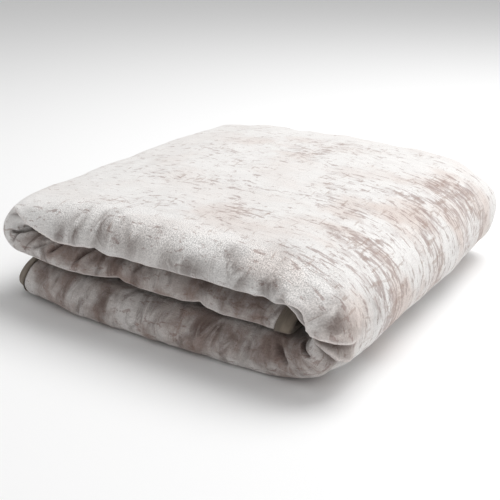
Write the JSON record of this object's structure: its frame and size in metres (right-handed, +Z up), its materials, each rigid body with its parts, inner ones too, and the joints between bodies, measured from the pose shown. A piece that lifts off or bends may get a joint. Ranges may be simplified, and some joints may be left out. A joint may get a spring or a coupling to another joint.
{
  "type": "folded throw blanket",
  "caption": "Thick plush throw folded in thirds both ways into a flat soft stack, with a woven tape bound over its cut ends.",
  "frame": {"origin": "middle of the folded stack's outline, on the surface it lies on", "axes": "+X to the right along the folded strip, towards the round fold that wraps the stack; +Y from the front folds to the back; +Z up"},
  "size_m": [0.4764, 0.4978, 0.142],
  "materials": {
    "plush": "soft napped plush with a mottled, brushed print in mauve-grey and taupe on off-white",
    "binding_tape": "plain smooth taupe tape, matte"
  },
  "bodies": {
    "root": {"blanket": "plush", "binding_lower_end": "binding_tape", "binding_inner_end": "binding_tape"}
  },
  "joints": []
}
